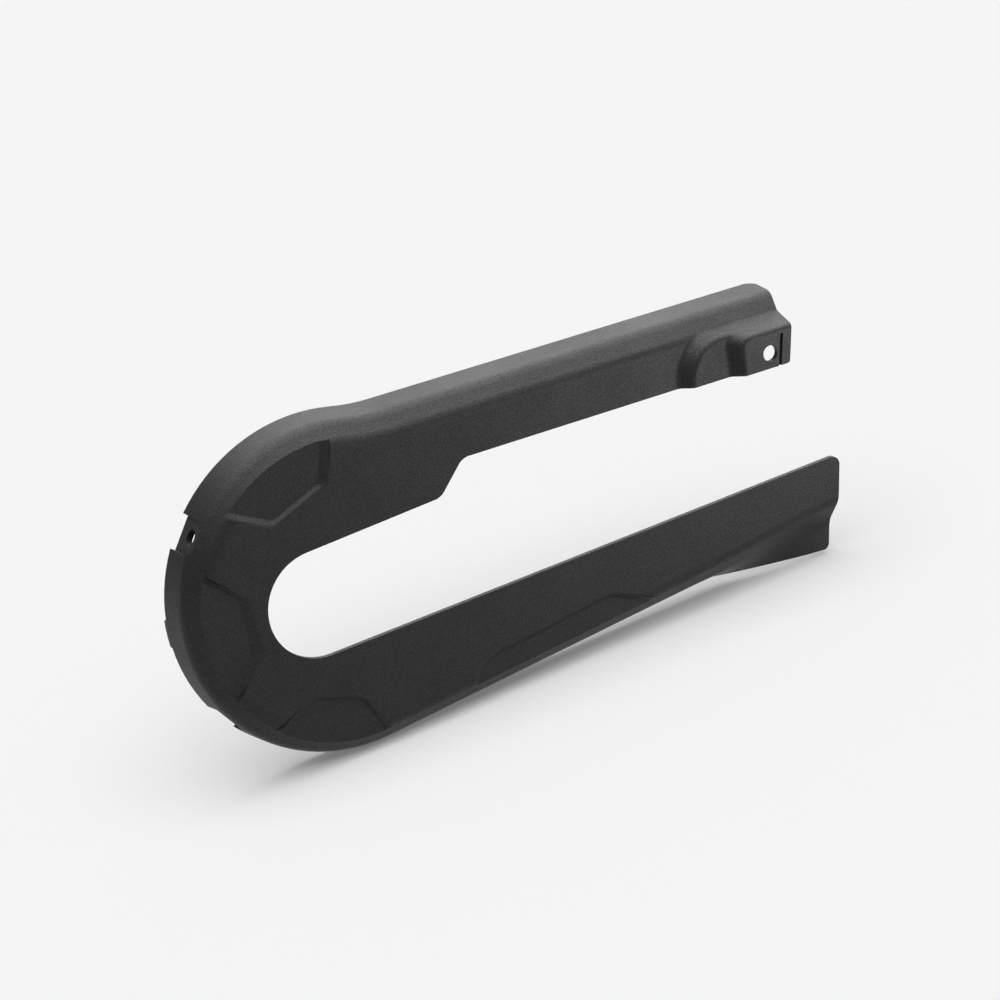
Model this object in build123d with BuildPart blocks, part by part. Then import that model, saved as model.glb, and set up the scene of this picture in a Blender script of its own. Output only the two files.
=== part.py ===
"""Motorcycle chain guard: one moulded shell round the rear sprocket and both runs of its chain.

Frame: X runs from the sprocket to the guard's open front end, Y from the outer face into the chain's
channel, and Z up. The origin is on the sprocket's axis, in the plane of the outer face.
"""
import os
from math import atan2, cos, degrees, hypot, radians, sin, sqrt, tan

from build123d import *

# Channel section: a flat face, a sloped shoulder and a rim wall, all of one thickness
wall = 3.0
channel_depth = 28.0
shoulder_depth = 9.0
shoulder_width = 10.5
wall_draft = 6.5
bend_reach = 3.6
face_strip = 3.0

# Outline at the shoulder's outer edge: the rim round the sprocket, then the two runs
rim_radius = 90.5
lower_run_slope = 3.3
upper_run_slope = 3.6
upper_run_inset = 4.1
upper_blend_turn = 11.5
cut_allowance = 12.2

# Slot between the arms, with a step where the upper arm narrows
slot_radius = 29.3
slot_setback = 18.0
slot_drop = 0.5
slot_flare = 0.77
notch_start = 62.0
notch_end = 79.0
notch_radius = 9.0
upper_arm_height = 35.3

# Leaning end cuts, each placed by where it crosses the X axis
upper_end = 267.2
upper_end_lean = 15.0
lower_end = 312.8
lower_end_lean = 13.3
upper_corner_radius = 6.5
tab_corner_radius = 2.0
lower_corner_radius = 5.0
lip_corner_radius = 4.0

# Lower arm's front end, where the rim wall turns down into an upright lip
twist_start = 185.0
twist_end = 290.0
twist_stations = 8
lip_shoulder_width = 13.0
lip_fall = 4.5
lip_height = 16.3

# Recessed panels: the places of the two corners nearest the slot, the angles at which the sides run
# outwards, the runs of the three sloped walls and the radii of the two corners. A place is an angle round
# the sprocket, or a distance along the lower run, and a distance in from the shoulder's outer edge
rim_panels = (
    ((123.6, 32.8), (87.7, 30.3), (150.0, 73.0), (3.1, 2.7, 4.3), (5.0, 6.0)),
    ((194.2, 34.2), (164.3, 33.8), (225.0, 134.1), (4.6, 5.0, 2.2), (4.0, 6.0)),
    ((262.8, 31.5), (234.3, 31.5), (-65.5, 204.2), (1.8, 2.6, 3.6), (8.0, 5.0)),
)
run_panel = ((143.3, 23.0), (56.6, 21.2), (-26.9, 245.7), (2.1, 2.5, 3.1), (18.0, 25.0))
panel_reach = 60.0
panel_depth = 2.4
panel_edge = 0.5
panel_edge_slope = 1.5
panel_floor_radius = 1.5
pad_margin = 1.0
pad_sink = 2.1

# Stepped tab at the upper arm's front end, with its bolt hole and end groove
tab_step = 7.0
tab_step_run = 5.5
tab_rear_start = 210.5
tab_rear_corner_radius = 23.0
tab_front_start = 239.5
tab_front_corner_radius = 8.0
tab_rise = 0.8
tab_ledge_run = 2.4
tab_edge_radius = 3.0
tab_foot_radius = 4.0
tab_hole_radius = 4.5
tab_hole_margin = 13.0
tab_hole_height = 8.4
groove_width = 1.6
groove_depth = 1.5
groove_margin = 6.3
groove_height = 17.5

# Flat screw seats sunk into the rim wall
upper_seat_angle = 143.0
upper_seat_sink = 3.5
lower_seat_angle = 213.0
lower_seat_sink = 1.9
seat_radius = 9.7
seat_hole_radius = 4.5
seat_place = 16.0
seat_thickness = 3.6
seat_pad_margin = 2.0
seat_pad_lead = 0.5

# Locating tongue on the rim's open edge
tongue_angle = 178.0
tongue_width = 15.0
tongue_reach = 3.0
tongue_step = 0.1

# Lines of the face, each as the angle of its normal and its distance from the origin
lower_normal = -90.0 + lower_run_slope
upper_normal = 90.0 - upper_run_slope
upper_level = rim_radius - upper_run_inset
back_flare = (channel_depth - shoulder_depth) * tan(radians(wall_draft))
slot_rise = slot_setback * sin(radians(slot_flare))
upper_back_line = (upper_normal, upper_level + back_flare)
arm_edge_line = (upper_normal, upper_level - upper_arm_height)
slot_upper_line = (90.0 + slot_flare, slot_radius + slot_rise - slot_drop)
slot_lower_line = (-90.0 - slot_flare, slot_radius + slot_rise + slot_drop)
upper_end_line = (-upper_end_lean, upper_end * cos(radians(upper_end_lean)))
lower_end_line = (-lower_end_lean, lower_end * cos(radians(lower_end_lean)))
lip_line = (lower_normal, rim_radius + lip_height)

# Other derived values
tab_steps = ((tab_rear_start, tab_rear_corner_radius), (tab_front_start, tab_front_corner_radius))
seats = ((upper_seat_angle, upper_seat_sink), (lower_seat_angle, lower_seat_sink))
outward = (0, -1, 0)
hair = 0.01
arm_reach = lower_end + cut_allowance
through = 4 * channel_depth
wall_length = hypot(channel_depth - shoulder_depth, back_flare)
back_radius = rim_radius + back_flare
blend_start = upper_normal - upper_blend_turn
blend_cos = cos(radians(upper_blend_turn))
blend_radius = (rim_radius * blend_cos - upper_level) / (1 - blend_cos)
rim_turn = 360 + lower_normal - blend_start
plate_inset = shoulder_width + bend_reach + face_strip
pad_inset = shoulder_width - shoulder_width / shoulder_depth * pad_sink


def ray(angle, length=1.0):
    """Point of the face at an angle from X and a distance from the origin."""
    return (length * cos(radians(angle)), length * sin(radians(angle)))


def shifted(point, angle, length):
    """Point moved by a length in the direction of an angle."""
    move = ray(angle, length)
    return (point[0] + move[0], point[1] + move[1])


def towards(start, end, reach):
    """Point at a reach from start, on the way to end."""
    share = reach / hypot(end[0] - start[0], end[1] - start[1])
    return (start[0] + share * (end[0] - start[0]), start[1] + share * (end[1] - start[1]))


def meet(line_a, line_b):
    """Point where two lines cross, each given by its normal's angle and its distance."""
    (ax, az), (bx, bz) = ray(line_a[0]), ray(line_b[0])
    cross = ax * bz - az * bx
    return ((line_a[1] * bz - line_b[1] * az) / cross, (line_b[1] * ax - line_a[1] * bx) / cross)


def offset_corner(corner, normal_a, normal_b):
    """Corner of two lines after both have moved by the wall along their normals."""
    share = wall / (1 + normal_a[0] * normal_b[0] + normal_a[1] * normal_b[1])
    return (
        corner[0] + share * (normal_a[0] + normal_b[0]),
        corner[1] + share * (normal_a[1] + normal_b[1]),
    )


def section_plane(angle, base=(0, 0)):
    """Plane across the channel: local x points outwards, local y into the channel."""
    out_x, out_z = ray(angle)
    return Plane(origin=(base[0], 0, base[1]), x_dir=(out_x, 0, out_z), z_dir=(-out_z, 0, out_x))


def rounded_strip(points, reaches):
    """Straight runs through the points, with a circular bend at each inner one."""
    here = points[0]
    for before, corner, after, reach in zip(points, points[1:], points[2:], reaches):
        entry = towards(corner, before, reach)
        leave = towards(corner, after, reach)
        chord = hypot(leave[0] - entry[0], leave[1] - entry[1])
        Line(here, entry)
        Bezier(entry, corner, leave, weights=[1, chord / (2 * reach), 1])
        here = leave
    Line(here, points[-1])


def channel_section(plane, level, lean=wall_draft, width=shoulder_width):
    """Section of face strip, shoulder and leaning wall, with the shoulder's outer edge at a level."""
    slope = atan2(shoulder_depth, width)
    tilt = radians(lean)
    normals = ((0, 1), (-sin(slope), cos(slope)), (-cos(tilt), sin(tilt)))
    outer = (
        (level - width - bend_reach - face_strip, 0),
        (level - width, 0),
        (level, shoulder_depth),
        (level + wall_length * sin(tilt), shoulder_depth + wall_length * cos(tilt)),
    )
    inner = (
        (outer[0][0], wall),
        offset_corner(outer[1], normals[0], normals[1]),
        offset_corner(outer[2], normals[1], normals[2]),
        (outer[3][0] + wall * normals[2][0], outer[3][1] + wall * normals[2][1]),
    )
    turns = (slope, radians(90) - tilt - slope)
    inner_reaches = [bend_reach - wall * tan(turn / 2) for turn in turns]
    with BuildSketch(plane) as section:
        with BuildLine():
            rounded_strip(outer, (bend_reach, bend_reach))
            Line(outer[-1], inner[-1])
            rounded_strip(inner[::-1], inner_reaches[::-1])
            Line(inner[0], outer[0])
        make_face()
    return section.sketch


def face_curve(inset):
    """Closed curve of the face, with its rim and runs moved inwards."""
    with BuildLine() as curve:
        rim = CenterArc((0, 0), rim_radius - inset, blend_start, rim_turn)
        blend = CenterArc(blend_center, blend_radius + inset, blend_start + 180, upper_blend_turn)
        upper = PolarLine(blend @ 1, arm_reach, -upper_run_slope)
        lower = PolarLine(rim @ 1, arm_reach, lower_run_slope)
        Line(upper @ 1, lower @ 1)
    return curve.edges()


def rim_place(angle, inset):
    """Point of the face at an angle round the sprocket and a distance in from the rim's edge."""
    return ray(angle, rim_radius - inset)


def run_place(along, inset):
    """Point of the face along the lower run and a distance in from its edge."""
    return shifted(ray(lower_run_slope, along), lower_normal, rim_radius - inset)


def line_through(point, normal, grow):
    """Line through a point, moved outwards along its normal."""
    out = ray(normal)
    return (normal, point[0] * out[0] + point[1] * out[1] + grow)


def panel_outline(panel, depth, grow=0.0, reach=None):
    """Panel's outline at a depth, to which its walls run in, grown all round and ended at a reach."""
    (first, second), angles, runs, radii = panel
    chord = degrees(atan2(second[1] - first[1], second[0] - first[0]))
    sides = (
        line_through(first, angles[0] + 90, grow - runs[0] * depth / panel_depth),
        line_through(first, chord - 90, grow - runs[1] * depth / panel_depth),
        line_through(second, angles[1] - 90, grow - runs[2] * depth / panel_depth),
    )
    corners = (meet(sides[0], sides[1]), meet(sides[1], sides[2]))
    with BuildSketch(Plane.XZ.offset(-depth)) as outline:
        with BuildLine():
            Polyline(
                shifted(corners[0], angles[0], panel_reach),
                *corners,
                shifted(corners[1], angles[1], panel_reach),
                close=True,
            )
        make_face()
        for corner, radius in zip(corners, radii):
            fillet(outline.vertices().sort_by_distance(corner)[0], radius)
        if reach is not None:
            make_face(face_curve(reach), mode=Mode.INTERSECT)
    return outline.sketch


def tab_outline(step, height, inset):
    """Outline of one of the tab's steps at a height in front of the face."""
    start, corner_radius = tab_steps[step]
    left = start + (height - step * tab_step) * tab_step_run / tab_step
    top = upper_level - shoulder_width + tab_rise - height * tab_ledge_run / tab_step
    left += inset * hypot(tab_step, tab_step_run) / tab_step
    top -= inset * hypot(tab_step, tab_ledge_run) / tab_step
    base = arm_edge_line[1] - tab_step
    along_x, along_z = ray(-upper_run_slope)
    plane = Plane(origin=(0, -height, 0), x_dir=(along_x, 0, along_z), z_dir=outward)
    with BuildSketch(plane) as outline:
        with BuildLine():
            Polyline((left, base), (arm_reach, base), (arm_reach, top), (left, top), close=True)
        make_face()
        fillet(outline.vertices().sort_by_distance((left, top))[0], corner_radius - inset)
    return outline.sketch


blend_center = ray(blend_start, rim_radius + blend_radius)
panels = [((rim_place(*first), rim_place(*second)), *rest) for first, second, *rest in rim_panels]
panels.append(((run_place(*run_panel[0]), run_place(*run_panel[1])), *run_panel[2:]))

# Tools of the recessed panels: sloped sides, a rounded floor and a bevelled upper edge
with BuildPart() as recess:
    for panel in panels:
        loft(
            (
                panel_outline(panel, -panel_edge, 2 * panel_edge * panel_edge_slope),
                panel_outline(panel, panel_edge),
                panel_outline(panel, panel_depth),
            ),
            ruled=True,
        )
    floor_edges = recess.edges().group_by(Axis.Y)[-1].sort_by(SortBy.LENGTH)
    fillet(floor_edges[: -len(panels)], panel_floor_radius)

# Stepped tab as a solid, with rounded edges
with BuildPart() as tab:
    for step in (0, 1):
        loft(
            (
                tab_outline(step, step * tab_step - wall, 0),
                tab_outline(step, step * tab_step + tab_step, 0),
            ),
            ruled=True,
        )
    fillet(tab.edges().group_by(Axis.Y)[0], tab_edge_radius)
    fillet(tab.edges().filter_by_position(Axis.Y, -tab_step - hair, -tab_step + hair), tab_edge_radius)

with BuildPart() as guard:
    # Rim wall and shoulder round the sprocket, then the hollow blend into the upper run
    rim_section = channel_section(section_plane(blend_start), rim_radius)
    revolve(rim_section, axis=Axis((0, 0, 0), outward), revolution_arc=rim_turn)
    blend_axis = Axis((blend_center[0], 0, blend_center[1]), outward)
    revolve(rim_section, axis=blend_axis, revolution_arc=upper_blend_turn)

    # Upper run
    upper_base = shifted(blend_center, upper_normal, -blend_radius - upper_level)
    extrude(channel_section(section_plane(upper_normal, upper_base), upper_level), amount=-arm_reach)

    # Lower run, whose wall turns out into a lip towards the front
    extrude(channel_section(section_plane(lower_normal), rim_radius), amount=twist_start)
    stations = []
    for index in range(twist_stations + 1):
        along = twist_start + index * (arm_reach - twist_start) / twist_stations
        share = min(1.0, (along - twist_start) / (twist_end - twist_start))
        turn = share * share * (3 - 2 * share)
        station = channel_section(
            section_plane(lower_normal, ray(lower_run_slope, along)),
            rim_radius,
            wall_draft + turn * (90 - wall_draft),
            shoulder_width + turn * (lip_shoulder_width - shoulder_width),
        )
        stations.append(station)
    loft(stations)

    # Flat face between the shoulders
    with BuildSketch(Plane.XZ) as face:
        make_face(face_curve(plate_inset))
    extrude(amount=-wall)

    # Pads behind the recessed panels, which keep the wall's thickness there
    for panel in panels:
        extrude(panel_outline(panel, 0, pad_margin, pad_inset), amount=-panel_depth - wall)

    # Recessed panels, with sloped sides, that run out into the shoulder
    add(recess.part, mode=Mode.SUBTRACT)

    # Stepped tab with a rounded foot, then the hollow behind it
    add(tab.part)
    foot = guard.edges(Select.NEW).filter_by(GeomType.BSPLINE).filter_by_position(Axis.X, 0, arm_reach)
    fillet(foot, tab_foot_radius)
    for step in (0, 1):
        loft(
            (
                tab_outline(step, step * tab_step - 2 * wall, wall),
                tab_outline(step, step * tab_step + tab_step - wall, wall),
            ),
            ruled=True,
            mode=Mode.SUBTRACT,
        )

    # Slot between the arms and the leaning ends of both, as one opening with rounded corners
    with BuildSketch(Plane.XZ) as opening:
        notch_low = meet(slot_upper_line, (0, notch_start))
        notch_high = meet(arm_edge_line, (0, notch_end))
        tab_corner = meet(arm_edge_line, upper_end_line)
        top_corner = meet(upper_back_line, upper_end_line)
        lip_corner = meet(lower_end_line, lip_line)
        slot_corner = meet(slot_lower_line, lower_end_line)
        with BuildLine():
            bow = CenterArc((-slot_setback, -slot_drop), slot_radius, 90 + slot_flare, 180 - 2 * slot_flare)
            Polyline(
                bow @ 0,
                notch_low,
                notch_high,
                tab_corner,
                shifted(top_corner, 90 - upper_end_lean, through),
                (arm_reach + through, through),
                (arm_reach + through, -through),
                (lower_end - through, -through),
                shifted(lip_corner, 180 - lip_fall, through),
                lip_corner,
                slot_corner,
                bow @ 1,
            )
        make_face()
        for corner, radius in (
            (notch_low, notch_radius),
            (notch_high, notch_radius),
            (tab_corner, tab_corner_radius),
            (lip_corner, lip_corner_radius),
            (slot_corner, lower_corner_radius),
        ):
            fillet(opening.vertices().sort_by_distance(corner)[0], radius)
    extrude(amount=through, both=True, mode=Mode.SUBTRACT)

    # Rounded back corner of the upper wall's end
    end_x, end_z = ray(-upper_end_lean)
    end_plane = Plane(
        origin=(top_corner[0], channel_depth, top_corner[1]),
        x_dir=(end_x, 0, end_z),
        z_dir=(-end_z, 0, end_x),
    )
    with BuildSketch(end_plane):
        Rectangle(upper_corner_radius, upper_corner_radius, align=Align.MAX)
        with Locations((-upper_corner_radius, -upper_corner_radius)):
            Circle(upper_corner_radius, mode=Mode.SUBTRACT)
    extrude(amount=shoulder_width, both=True, mode=Mode.SUBTRACT)

    # Bolt hole of the tab, and the groove beside its end
    with BuildSketch(Plane.XZ):
        hole_level = (upper_normal, arm_edge_line[1] + tab_hole_height)
        with Locations(meet(hole_level, (-upper_end_lean, upper_end_line[1] - tab_hole_margin))):
            Circle(tab_hole_radius)
    extrude(amount=through, both=True, mode=Mode.SUBTRACT)
    with BuildSketch(Plane.XZ.offset(2 * tab_step)):
        with BuildLine():
            near = (-upper_end_lean, upper_end_line[1] - groove_margin - groove_width / 2)
            far = (-upper_end_lean, near[1] + groove_width)
            low = (upper_normal, arm_edge_line[1] - tab_step)
            high = (upper_normal, arm_edge_line[1] + groove_height)
            Polyline(meet(near, high), meet(near, low), meet(far, low), meet(far, high), close=True)
        make_face()
    extrude(amount=-groove_depth, mode=Mode.SUBTRACT)

    # Screw seats: a pad inside the rim wall, a flat sunk from outside, and a hole
    pad_half = seat_radius + seat_pad_margin
    pad_front = -seat_hole_radius - seat_pad_lead
    pad_back = channel_depth - seat_place
    for angle, sink in seats:
        seat_x, seat_z = ray(angle)
        floor = back_radius - sink
        pad_top = min(0, sqrt(rim_radius**2 - pad_half**2) - floor)
        seat_plane = Plane(
            origin=(floor * seat_x, seat_place, floor * seat_z),
            x_dir=(0, 1, 0),
            z_dir=(seat_x, 0, seat_z),
        )
        with BuildSketch(seat_plane.offset(pad_top)):
            with Locations(((pad_front + pad_back) / 2, 0)):
                Rectangle(pad_back - pad_front, 2 * pad_half)
        extrude(amount=-seat_thickness - pad_top)
        with BuildSketch(seat_plane):
            Circle(seat_radius)
            with Locations((pad_back, 0)):
                Rectangle(2 * pad_back, 2 * seat_radius)
        extrude(amount=through, mode=Mode.SUBTRACT)
        with BuildSketch(seat_plane):
            Circle(seat_hole_radius)
        extrude(amount=2 * seat_thickness, both=True, mode=Mode.SUBTRACT)

    # Flat open edge, with a locating tongue on it
    split(bisect_by=Plane.XZ.offset(-channel_depth))
    with BuildSketch(Plane.XZ.offset(-channel_depth)):
        Circle(back_radius - tongue_step)
        Circle(back_radius - wall + tongue_step, mode=Mode.SUBTRACT)
        with Locations(Location(ray(tongue_angle, back_radius), tongue_angle)):
            Rectangle(2 * wall, tongue_width, mode=Mode.INTERSECT)
    extrude(amount=-tongue_reach)

guard.part.label = "chain_guard"
os.makedirs("parts", exist_ok=True)
export_step(guard.part, "parts/chain_guard.step")
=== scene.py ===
from math import atan2, cos, hypot, radians, sin, sqrt, tan

import bmesh
import bpy
from bpy.props import FloatProperty, FloatVectorProperty, IntProperty, PointerProperty
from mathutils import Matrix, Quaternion, Vector


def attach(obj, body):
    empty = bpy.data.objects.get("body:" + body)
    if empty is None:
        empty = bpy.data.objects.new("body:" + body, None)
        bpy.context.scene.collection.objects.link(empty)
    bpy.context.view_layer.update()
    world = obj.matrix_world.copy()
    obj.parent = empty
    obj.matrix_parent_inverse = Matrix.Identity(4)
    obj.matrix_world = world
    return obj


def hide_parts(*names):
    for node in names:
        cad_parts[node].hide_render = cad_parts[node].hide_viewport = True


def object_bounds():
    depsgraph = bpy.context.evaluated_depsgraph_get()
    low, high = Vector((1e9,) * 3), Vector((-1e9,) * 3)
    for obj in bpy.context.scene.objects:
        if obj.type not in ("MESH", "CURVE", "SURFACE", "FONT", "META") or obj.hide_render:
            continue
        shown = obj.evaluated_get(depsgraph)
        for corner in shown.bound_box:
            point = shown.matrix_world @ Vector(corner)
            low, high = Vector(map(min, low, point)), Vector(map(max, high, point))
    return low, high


bl_info = {
    "name": "Motorcycle chain guard",
    "version": (1, 0, 0),
    "blender": (4, 5, 0),
    "location": "View3D > Sidebar > Chain guard",
    "description": "Grained black plastic finish of a moulded chain guard, on a pale studio stage",
    "category": "Object",
}

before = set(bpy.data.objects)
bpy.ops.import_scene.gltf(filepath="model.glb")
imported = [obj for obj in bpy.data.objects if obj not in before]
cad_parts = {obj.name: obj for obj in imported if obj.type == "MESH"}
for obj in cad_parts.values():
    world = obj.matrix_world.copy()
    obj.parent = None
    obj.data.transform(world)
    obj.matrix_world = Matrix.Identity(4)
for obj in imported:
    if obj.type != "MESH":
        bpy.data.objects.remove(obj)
cad_low, cad_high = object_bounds()
guard_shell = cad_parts["chain_guard"]

# Range in which nearly all values of a noise lie
noise_low = 0.3
noise_high = 0.7

white = (1.0, 1.0, 1.0, 1.0)


class ShellShape(bpy.types.PropertyGroup):
    """Sizes of the shoulder into which the ends of the recessed panels run out"""

    shoulder_level: FloatProperty(
        name="Shoulder level",
        description="Distance of the shoulder's outer edge from the sprocket's axis",
        unit="LENGTH",
        min=0.0,
        default=0.0905,
    )
    shoulder_width: FloatProperty(
        name="Shoulder width",
        description="Width of the sloped shoulder, seen from the front of the face",
        unit="LENGTH",
        min=0.0,
        default=0.0105,
    )
    shoulder_depth: FloatProperty(
        name="Shoulder depth",
        description="Depth by which the shoulder falls behind the face",
        unit="LENGTH",
        min=0.0,
        default=0.009,
    )
    bend_reach: FloatProperty(
        name="Bend reach",
        description="Length of the bend between face and shoulder, to each side of its corner",
        unit="LENGTH",
        min=0.0,
        default=0.0036,
    )
    panel_end: FloatProperty(
        name="Panel end",
        description="Distance out over the shoulder at which the panels have run out",
        unit="LENGTH",
        min=0.0,
        default=0.0025,
    )
    least_lift: FloatProperty(
        name="Least lift",
        description="Height above the shoulder that counts as flush",
        unit="LENGTH",
        min=0.0,
        default=0.00002,
    )
    end_cuts: IntProperty(
        name="End cuts",
        description="Cuts in each edge that runs out, so that it follows the bend",
        min=1,
        default=8,
    )
    run_slope: FloatProperty(
        name="Lower run slope",
        description="Rise of the lower run towards its front end",
        subtype="ANGLE",
        default=radians(3.3),
    )
    panel_run: FloatProperty(
        name="Panel run",
        description="Length of the lower run that holds its panel",
        unit="LENGTH",
        min=0.0,
        default=0.205,
    )
    rim_start: FloatProperty(
        name="Rim start",
        description="Angle at which the rim round the sprocket meets the upper run",
        subtype="ANGLE",
        default=radians(74.9),
    )


class ShellFinish(bpy.types.PropertyGroup):
    """Finish of the moulded shell"""

    colour: FloatVectorProperty(
        name="Plastic",
        description="Colour of the dyed plastic",
        subtype="COLOR",
        size=3,
        min=0.0,
        max=1.0,
        default=(0.0095, 0.0095, 0.0100),
    )
    colour_spread: FloatProperty(
        name="Colour spread",
        description="Share by which the grain and the flow of the melt lighten and darken the plastic",
        subtype="FACTOR",
        min=0.0,
        max=1.0,
        default=0.28,
    )
    roughness: FloatProperty(
        name="Roughness",
        description="Roughness of the matte surface",
        subtype="FACTOR",
        min=0.0,
        max=1.0,
        default=0.50,
    )
    roughness_spread: FloatProperty(
        name="Roughness spread",
        description="Range of roughness between the grain's tops and hollows",
        subtype="FACTOR",
        min=0.0,
        max=1.0,
        default=0.12,
    )
    specular: FloatProperty(
        name="Specular level",
        description="Strength of the plastic's surface reflection",
        subtype="FACTOR",
        min=0.0,
        max=1.0,
        default=0.26,
    )
    grain_size: FloatProperty(
        name="Grain size",
        description="Width of one bump of the mould's eroded grain",
        unit="LENGTH",
        min=0.0001,
        default=0.0008,
    )
    grain_height: FloatProperty(
        name="Grain height",
        description="Height of the grain from its hollows to its tops",
        unit="LENGTH",
        min=0.0,
        default=0.0002,
    )
    grain_turn: FloatVectorProperty(
        name="Grain turn",
        description="Turn of the grain, so that no flat face lies along its rows",
        subtype="EULER",
        size=3,
        default=(radians(34), radians(21), radians(47)),
    )
    grain_detail: FloatProperty(
        name="Grain detail",
        description="How many finer layers the grain has",
        min=0.0,
        default=2.0,
    )
    flow_size: FloatProperty(
        name="Flow size",
        description="Width of the faint cloudy patches that the melt's flow leaves",
        unit="LENGTH",
        min=0.001,
        default=0.03,
    )
    flow_detail: FloatProperty(
        name="Flow detail",
        description="How many finer layers the cloudy patches have",
        min=0.0,
        default=3.0,
    )
    edge_radius: FloatProperty(
        name="Edge radius",
        description="Rounding of the shell's sharp edges where they catch the light",
        unit="LENGTH",
        min=0.0,
        default=0.0005,
    )


class StudioStage(bpy.types.PropertyGroup):
    """Floor, light and camera"""

    floor_size: FloatProperty(
        name="Floor size",
        description="Side of the square floor",
        unit="LENGTH",
        min=1.0,
        default=60.0,
    )
    floor_colour: FloatVectorProperty(
        name="Floor",
        description="Colour of the floor",
        subtype="COLOR",
        size=3,
        min=0.0,
        max=1.0,
        default=(0.913, 0.913, 0.913),
    )
    floor_lift: FloatProperty(
        name="Floor lift",
        description="Share of the floor's own colour that lightens its shadow, as on a lit white table",
        subtype="FACTOR",
        min=0.0,
        max=1.0,
        default=0.15,
    )
    mirrored_lift: FloatProperty(
        name="Mirrored lift",
        description="Share of the floor's own colour that lightens its shadow in the plastic's sheen",
        subtype="FACTOR",
        min=0.0,
        max=1.0,
        default=0.7,
    )
    fill: FloatProperty(
        name="Fill",
        description="Strength of the even light from all round",
        min=0.0,
        default=0.30,
    )
    softbox: FloatProperty(
        name="Softbox",
        description="Strength of the wide overhead light",
        min=0.0,
        default=2.31,
    )
    softbox_spread: FloatProperty(
        name="Softbox spread",
        description="Angle that the overhead light covers in the sky",
        subtype="ANGLE",
        min=0.0,
        max=radians(180),
        default=radians(70),
    )
    softbox_from: FloatVectorProperty(
        name="Softbox direction",
        description="Direction from the guard to the middle of the overhead light",
        subtype="DIRECTION",
        size=3,
        default=(-0.10, -0.30, 1.0),
    )
    sheen: FloatProperty(
        name="Sheen",
        description="Strength of the overhead light that only shows as sheen on the plastic",
        min=0.0,
        default=7.8,
    )
    sheen_spread: FloatProperty(
        name="Sheen spread",
        description="Angle that the sheen's light covers in the sky",
        subtype="ANGLE",
        min=0.0,
        max=radians(180),
        default=radians(100),
    )
    sheen_from: FloatVectorProperty(
        name="Sheen direction",
        description="Direction from the guard to the middle of the sheen's light",
        subtype="DIRECTION",
        size=3,
        default=(0.55, 0.20, 1.0),
    )
    front_card_place: FloatVectorProperty(
        name="Front card",
        description="Place of the low card that lights the face towards its front end",
        subtype="TRANSLATION",
        unit="LENGTH",
        size=3,
        default=(0.48, -0.36, -0.03),
    )
    front_card_size: FloatVectorProperty(
        name="Front card size",
        description="Width and height of the front card",
        unit="LENGTH",
        size=2,
        min=0.01,
        default=(0.3, 0.1),
    )
    front_card_power: FloatProperty(
        name="Front card power",
        description="Power of the front card, in watts",
        min=0.0,
        default=1.4,
    )
    camera_place: FloatVectorProperty(
        name="Camera",
        description="Place of the camera",
        subtype="TRANSLATION",
        unit="LENGTH",
        size=3,
        default=(-0.5085, -1.3673, 0.5666),
    )
    camera_aim: FloatVectorProperty(
        name="Camera aim",
        description="Point at the middle of the picture",
        subtype="TRANSLATION",
        unit="LENGTH",
        size=3,
        default=(0.0946, 0.0, 0.0162),
    )
    camera_roll: FloatProperty(
        name="Camera roll",
        description="Turn of the camera about its line of sight",
        subtype="ANGLE",
        default=radians(-13.1),
    )
    camera_lens: FloatProperty(
        name="Lens",
        description="Focal length of the camera, in millimetres",
        min=10.0,
        default=108.0,
    )


def new_material(name):
    """Material with an empty node tree and its output node."""
    material = bpy.data.materials.new(name)
    material.use_nodes = True
    tree = material.node_tree
    tree.nodes.clear()
    return material, tree, tree.nodes.new("ShaderNodeOutputMaterial")


def add_noise(tree, place, size, detail):
    """Noise whose patches have a size in metres, and its value."""
    noise = tree.nodes.new("ShaderNodeTexNoise")
    noise.inputs["Scale"].default_value = 1.0 / size
    noise.inputs["Detail"].default_value = detail
    tree.links.new(place, noise.inputs["Vector"])
    return noise.outputs["Fac"]


def add_range(tree, value, low, high):
    """Noise's value, stretched to reach from low to high."""
    stretch = tree.nodes.new("ShaderNodeMapRange")
    stretch.inputs["From Min"].default_value = noise_low
    stretch.inputs["From Max"].default_value = noise_high
    stretch.inputs["To Min"].default_value = low
    stretch.inputs["To Max"].default_value = high
    tree.links.new(value, stretch.inputs["Value"])
    return stretch.outputs["Result"]


def add_math(tree, operation, first, second):
    """Two values in a sum, product or quotient, each a socket or a number."""
    node = tree.nodes.new("ShaderNodeMath")
    node.operation = operation
    for socket, value in zip(node.inputs, (first, second)):
        if isinstance(value, (int, float)):
            socket.default_value = value
        else:
            tree.links.new(value, socket)
    return node.outputs["Value"]


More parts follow.
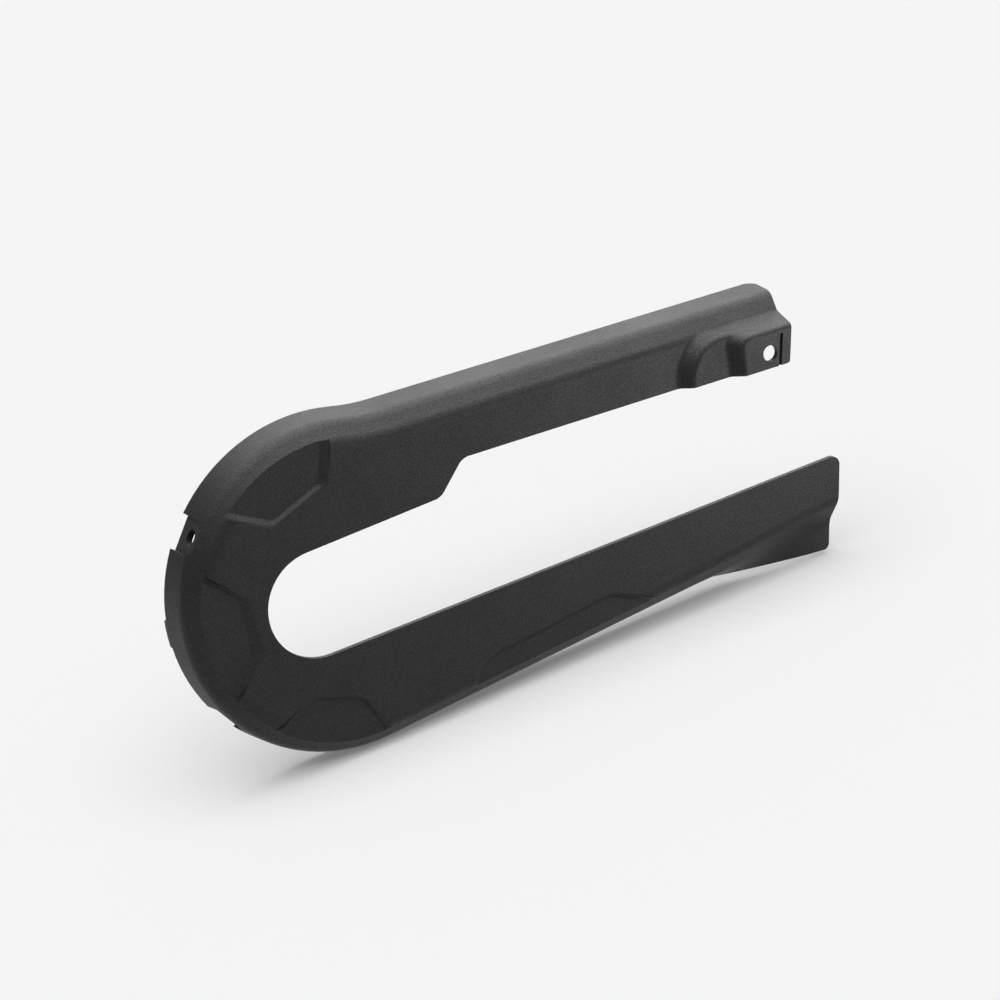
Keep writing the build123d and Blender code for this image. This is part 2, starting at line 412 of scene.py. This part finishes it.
def make_moulded_plastic(finish):
    """Matte black plastic with the fine eroded grain of its mould."""
    material, tree, output = new_material("moulded_black_plastic")
    place = tree.nodes.new("ShaderNodeTexCoord")
    turned = tree.nodes.new("ShaderNodeMapping")
    turned.inputs["Rotation"].default_value = finish.grain_turn
    tree.links.new(place.outputs["Object"], turned.inputs["Vector"])
    grain = add_noise(tree, turned.outputs["Vector"], finish.grain_size, finish.grain_detail)
    flow = add_noise(tree, turned.outputs["Vector"], finish.flow_size, finish.flow_detail)
    clouds = add_math(tree, "DIVIDE", add_math(tree, "ADD", grain, flow), 2)

    shader = tree.nodes.new("ShaderNodeBsdfPrincipled")
    tree.links.new(shader.outputs["BSDF"], output.inputs["Surface"])

    tint = tree.nodes.new("ShaderNodeMix")
    tint.data_type = "RGBA"
    spread = finish.colour_spread
    tint.inputs["A"].default_value = (*(c * (1 - spread) for c in finish.colour), 1.0)
    tint.inputs["B"].default_value = (*(c * (1 + spread) for c in finish.colour), 1.0)
    tree.links.new(add_range(tree, clouds, 0.0, 1.0), tint.inputs["Factor"])
    tree.links.new(tint.outputs["Result"], shader.inputs["Base Color"])

    sheen = add_range(tree, grain, finish.specular * (1 - spread), finish.specular * (1 + spread))
    tree.links.new(sheen, shader.inputs["Specular IOR Level"])

    half = finish.roughness_spread / 2
    rough = add_range(tree, clouds, finish.roughness + half, finish.roughness - half)
    tree.links.new(rough, shader.inputs["Roughness"])

    edge = tree.nodes.new("ShaderNodeBevel")
    edge.inputs["Radius"].default_value = finish.edge_radius
    bump = tree.nodes.new("ShaderNodeBump")
    bump.inputs["Distance"].default_value = finish.grain_height
    tree.links.new(grain, bump.inputs["Height"])
    tree.links.new(edge.outputs["Normal"], bump.inputs["Normal"])
    tree.links.new(bump.outputs["Normal"], shader.inputs["Normal"])
    return material


def make_floor_paint(stage):
    """Pale matte floor, whose shadow looks lighter, most of all in the plastic's sheen."""
    material, tree, output = new_material("pale_floor")
    paint = tree.nodes.new("ShaderNodeBsdfDiffuse")
    paint.inputs["Color"].default_value = (*stage.floor_colour, 1.0)
    glow = tree.nodes.new("ShaderNodeEmission")
    glow.inputs["Color"].default_value = (*stage.floor_colour, 1.0)
    rays = tree.nodes.new("ShaderNodeLightPath")
    mirrored = add_math(tree, "ADD", rays.outputs["Is Glossy Ray"], rays.outputs["Is Transmission Ray"])
    seen_lift = add_math(tree, "MULTIPLY", rays.outputs["Is Camera Ray"], stage.floor_lift)
    mirrored_lift = add_math(tree, "MULTIPLY", mirrored, stage.mirrored_lift)
    mix = tree.nodes.new("ShaderNodeMixShader")
    tree.links.new(add_math(tree, "ADD", seen_lift, mirrored_lift), mix.inputs["Fac"])
    tree.links.new(paint.outputs["BSDF"], mix.inputs[1])
    tree.links.new(glow.outputs["Emission"], mix.inputs[2])
    tree.links.new(mix.outputs["Shader"], output.inputs["Surface"])
    return material


def make_world(stage):
    """Even fill light from all round."""
    world = bpy.data.worlds.new("studio")
    world.use_nodes = True
    fill = world.node_tree.nodes["Background"]
    fill.inputs["Color"].default_value = white
    fill.inputs["Strength"].default_value = stage.fill
    return world


def link_object(name, data):
    """New object, linked to the scene."""
    made = bpy.data.objects.new(name, data)
    bpy.context.scene.collection.objects.link(made)
    return made


def aim_lamp(lamp, away):
    """Turns a lamp to shine against a direction."""
    lamp.rotation_mode = "QUATERNION"
    lamp.rotation_quaternion = Vector(away).to_track_quat("Z", "Y")


def add_sky(name, strength, spread, away):
    """Wide, even light from a part of the sky."""
    light = bpy.data.lights.new(name, "SUN")
    light.energy = strength
    light.angle = spread
    sky = link_object(name, light)
    aim_lamp(sky, away)
    return sky


def add_card(name, place, size, power, target):
    """Soft rectangular light, turned to a target."""
    light = bpy.data.lights.new(name, "AREA")
    light.shape = "RECTANGLE"
    light.size, light.size_y = size
    light.energy = power
    card = link_object(name, light)
    card.location = place
    aim_lamp(card, Vector(place) - target)
    return card


def keep_to_sheen(lamp):
    """Limits a lamp to reflections, so that the floor and its shadow stay as they are."""
    lamp.visible_camera = False
    lamp.visible_diffuse = False


def shoulder_reach(point, shape):
    """How far a point lies beyond the corner of face and shoulder, on the rim or the lower run."""
    along = point.x * cos(shape.run_slope) + point.z * sin(shape.run_slope)
    down = point.x * sin(shape.run_slope) - point.z * cos(shape.run_slope)
    corner = shape.shoulder_level - shape.shoulder_width
    if 0 < along < shape.panel_run and down > 0:
        return down - corner
    if along < 0 or point.z > point.x * tan(shape.rim_start):
        return hypot(point.x, point.z) - corner
    return -corner


def panel_lift(point, shape):
    """Height of a panel's edge above the bend and the shoulder that it runs out into."""
    reach = shoulder_reach(point, shape)
    if not -shape.bend_reach < reach < shape.panel_end:
        return 0.0
    slope = atan2(shape.shoulder_depth, shape.shoulder_width)
    radius = shape.bend_reach / tan(slope / 2)
    if reach < shape.bend_reach * cos(slope):
        fall = radius - sqrt(radius**2 - (reach + shape.bend_reach) ** 2)
    else:
        fall = reach * tan(slope)
    return max(fall - point.y - shape.least_lift, 0.0)


class CHAINGUARD_OT_build_shell(bpy.types.Operator):
    """Builds the grained shell, with the ends of its panels run out flush into the shoulder"""

    bl_idname = "chain_guard.build_shell"
    bl_label = "Build the shell"

    def execute(self, context):
        shape = context.scene.guard_shape
        mesh = guard_shell.data.copy()
        shell = bmesh.new()
        shell.from_mesh(mesh)
        raised = {vertex for vertex in shell.verts if panel_lift(vertex.co, shape) > 0}
        ends = [edge for edge in shell.edges if raised.intersection(edge.verts)]
        bmesh.ops.subdivide_edges(shell, edges=ends, cuts=shape.end_cuts)
        for vertex in shell.verts:
            vertex.co.y += panel_lift(vertex.co, shape)
        shell.to_mesh(mesh)
        shell.free()
        mesh.materials.clear()
        mesh.materials.append(make_moulded_plastic(context.scene.guard_finish))
        piece = link_object("moulded_shell", mesh)
        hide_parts("chain_guard")
        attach(piece, "root")
        return {"FINISHED"}


class CHAINGUARD_OT_build_stage(bpy.types.Operator):
    """Lays the floor under the guard and sets up the light and the camera"""

    bl_idname = "chain_guard.build_stage"
    bl_label = "Build the stage"

    def execute(self, context):
        scene = context.scene
        stage = scene.guard_stage
        half = stage.floor_size / 2
        level = cad_low.z
        corners = [(-half, -half, level), (half, -half, level), (half, half, level), (-half, half, level)]
        mesh = bpy.data.meshes.new("studio_floor")
        mesh.from_pydata(corners, [], [(0, 1, 2, 3)])
        mesh.materials.append(make_floor_paint(stage))
        link_object("studio_floor", mesh)

        aim = Vector(stage.camera_aim)
        add_sky("overhead_softbox", stage.softbox, stage.softbox_spread, stage.softbox_from)
        keep_to_sheen(add_sky("overhead_sheen", stage.sheen, stage.sheen_spread, stage.sheen_from))
        card = (stage.front_card_place, stage.front_card_size, stage.front_card_power)
        keep_to_sheen(add_card("front_card", *card, aim))
        scene.world = make_world(stage)

        lens = bpy.data.cameras.new("camera")
        lens.lens = stage.camera_lens
        camera = link_object("camera", lens)
        place = Vector(stage.camera_place)
        camera.location = place
        camera.rotation_mode = "QUATERNION"
        upright = (aim - place).to_track_quat("-Z", "Y")
        camera.rotation_quaternion = upright @ Quaternion((0, 0, 1), stage.camera_roll)
        scene.camera = camera
        scene.view_settings.view_transform = "Standard"
        return {"FINISHED"}


class CHAINGUARD_PT_sidebar(bpy.types.Panel):
    """Sizes, colours and steps of the chain guard"""

    bl_idname = "CHAINGUARD_PT_sidebar"
    bl_label = "Chain guard"
    bl_space_type = "VIEW_3D"
    bl_region_type = "UI"
    bl_category = "Chain guard"

    def draw(self, context):
        scene = context.scene
        for group in (scene.guard_shape, scene.guard_finish, scene.guard_stage):
            box = self.layout.box()
            for name in group.bl_rna.properties.keys():
                if name not in {"rna_type", "name"}:
                    box.prop(group, name)
        for operator in OPERATORS:
            self.layout.operator(operator.bl_idname)


GROUPS = (ShellShape, ShellFinish, StudioStage)
OPERATORS = (CHAINGUARD_OT_build_shell, CHAINGUARD_OT_build_stage)
CLASSES = (*GROUPS, *OPERATORS, CHAINGUARD_PT_sidebar)


def register():
    for cls in CLASSES:
        bpy.utils.register_class(cls)
    bpy.types.Scene.guard_shape = PointerProperty(type=ShellShape)
    bpy.types.Scene.guard_finish = PointerProperty(type=ShellFinish)
    bpy.types.Scene.guard_stage = PointerProperty(type=StudioStage)


def unregister():
    del bpy.types.Scene.guard_stage
    del bpy.types.Scene.guard_finish
    del bpy.types.Scene.guard_shape
    for cls in reversed(CLASSES):
        bpy.utils.unregister_class(cls)


def main():
    """Builds the guard and its stage."""
    register()
    bpy.ops.chain_guard.build_shell()
    bpy.ops.chain_guard.build_stage()


if __name__ == "__main__":
    main()
